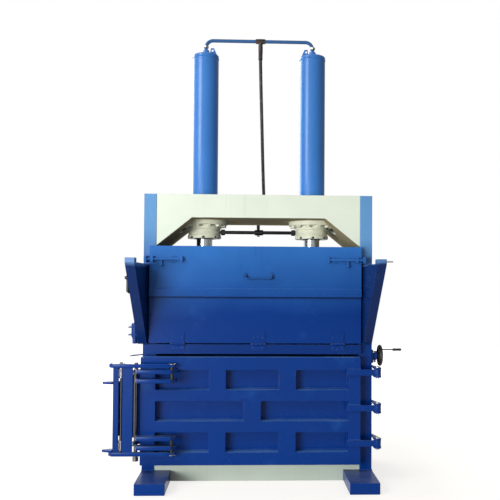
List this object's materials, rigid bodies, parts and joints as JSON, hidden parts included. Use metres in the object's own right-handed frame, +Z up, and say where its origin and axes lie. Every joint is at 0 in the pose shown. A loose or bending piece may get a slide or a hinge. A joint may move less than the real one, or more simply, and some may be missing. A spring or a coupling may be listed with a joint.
{
  "type": "cotton baler",
  "caption": "Upright twin-cylinder hydraulic press for cotton bales: ribbed side-hinged bale door with a hook lock, drop-down feed door between cheeks, ram platen under a portal crosshead.",
  "frame": {"origin": "on the floor, midway between the outer faces of the two columns and midway between the front and rear faces of the frame", "axes": "+X to the right seen from the doors, +Y to the rear, +Z up"},
  "size_m": [1.926, 1.3593, 3.01],
  "materials": {
    "bare_steel": "turned steel",
    "black_plastic": "moulded black",
    "black_steel": "black finish",
    "blue_paint": "glossy blue enamel",
    "chrome_rod": "ground and chromed",
    "cream_paint": "glossy cream enamel",
    "dark_fitting": "dark plated fitting",
    "deep_blue_paint": "blue enamel in shade",
    "hose_rubber": "matt black hose"
  },
  "bodies": {
    "frame": {"feet": "blue_paint", "base_skirt": "cream_paint", "chamber_floor": "deep_blue_paint", "left_column": "blue_paint", "right_column": "blue_paint", "left_wall": "blue_paint", "right_wall": "blue_paint", "back_wall": "blue_paint", "front_sill": "deep_blue_paint", "crosshead": "cream_paint", "left_cheek": "blue_paint", "right_cheek": "blue_paint", "left_barrel": "blue_paint", "right_barrel": "blue_paint", "left_cap": "blue_paint", "right_cap": "blue_paint", "left_flange": "cream_paint", "right_flange": "cream_paint", "flange_bolts": "cream_paint", "left_gland": "cream_paint", "right_gland": "cream_paint", "gland_screws": "black_steel", "bridge_pipe": "blue_paint", "hose_tee": "dark_fitting", "hose": "hose_rubber", "lower_pipe": "black_steel", "bulkhead_bracket": "cream_paint", "bulkhead_couplings": "bare_steel", "bolt_keepers": "blue_paint", "sill_hinge_leaves": "blue_paint", "feed_hinge_pins": "bare_steel", "door_hinge_lugs": "blue_paint", "door_hinge_pins": "bare_steel", "keeper_lugs": "blue_paint", "keeper_rod": "bare_steel", "wheel_bracket": "blue_paint", "switch_bracket": "blue_paint", "switch_body": "blue_paint"},
    "ram": {"left_rod": "chrome_rod", "right_rod": "chrome_rod", "left_piston": "bare_steel", "right_piston": "bare_steel", "platen": "deep_blue_paint"},
    "feed_door": {"feed_door": "blue_paint", "door_hinge_leaves": "blue_paint", "pull_handle": "deep_blue_paint", "bolt_guides": "blue_paint"},
    "left_slide_bolt": {"left_slide_bolt": "blue_paint"},
    "right_slide_bolt": {"right_slide_bolt": "blue_paint"},
    "bale_door": {"bale_door": "blue_paint", "hinge_straps": "blue_paint", "lock_brackets": "blue_paint", "lock_pins": "black_steel"},
    "lock_frame": {"lock_frame": "blue_paint"},
    "lock_link": {"lock_hooks": "bare_steel", "link_rod": "bare_steel"},
    "handwheel": {"handwheel": "black_plastic"},
    "handle_grip": {"handle_grip": "black_plastic"},
    "hold_pin": {"hold_pin": "bare_steel"},
    "catch_lever": {"catch_lever": "black_steel"}
  },
  "joints": [
    {"name": "ram_travel", "type": "slide", "parent": "frame", "child": "ram", "axis": [0, 0, -1], "range_m": [0, 0.86]},
    {"name": "feed_door_hinge", "type": "hinge", "parent": "frame", "child": "feed_door", "pos_m": [0, -0.348, 0.894], "axis": [1, 0, 0], "range_deg": [0, 35]},
    {"name": "left_bolt_slide", "type": "slide", "parent": "feed_door", "child": "left_slide_bolt", "axis": [-1, 0, 0], "range_m": [0, 0.018]},
    {"name": "right_bolt_slide", "type": "slide", "parent": "feed_door", "child": "right_slide_bolt", "axis": [1, 0, 0], "range_m": [0, 0.018]},
    {"name": "bale_door_hinge", "type": "hinge", "parent": "frame", "child": "bale_door", "pos_m": [0.772, -0.384, 0.488], "axis": [0, 0, 1], "range_deg": [0, 110]},
    {"name": "lock_frame_pivot", "type": "hinge", "parent": "bale_door", "child": "lock_frame", "pos_m": [-0.545, -0.43, 0.488], "axis": [0, 0, 1], "range_deg": [0, 100]},
    {"name": "hook_turn", "type": "hinge", "parent": "lock_frame", "child": "lock_link", "pos_m": [-0.866, -0.41, 0.488], "axis": [0, 0, 1], "range_deg": [-24, 0]},
    {"name": "handwheel_turn", "type": "hinge", "parent": "frame", "child": "handwheel", "pos_m": [0.812, -0.245, 0.812], "axis": [1, 0, 0], "continuous": true},
    {"name": "grip_spin", "type": "hinge", "parent": "handwheel", "child": "handle_grip", "pos_m": [0.9, -0.28598, 0.85444], "axis": [1, 0, 0], "continuous": true},
    {"name": "hold_pin_slide", "type": "slide", "parent": "frame", "child": "hold_pin", "axis": [-0.9969, -0.0787, 0], "range_m": [0, 0.045]},
    {"name": "catch_swing", "type": "hinge", "parent": "frame", "child": "catch_lever", "pos_m": [-0.81146, -0.51809, 1.318], "axis": [0.9969, -0.0787, 0], "range_deg": [-30, 90]}
  ]
}
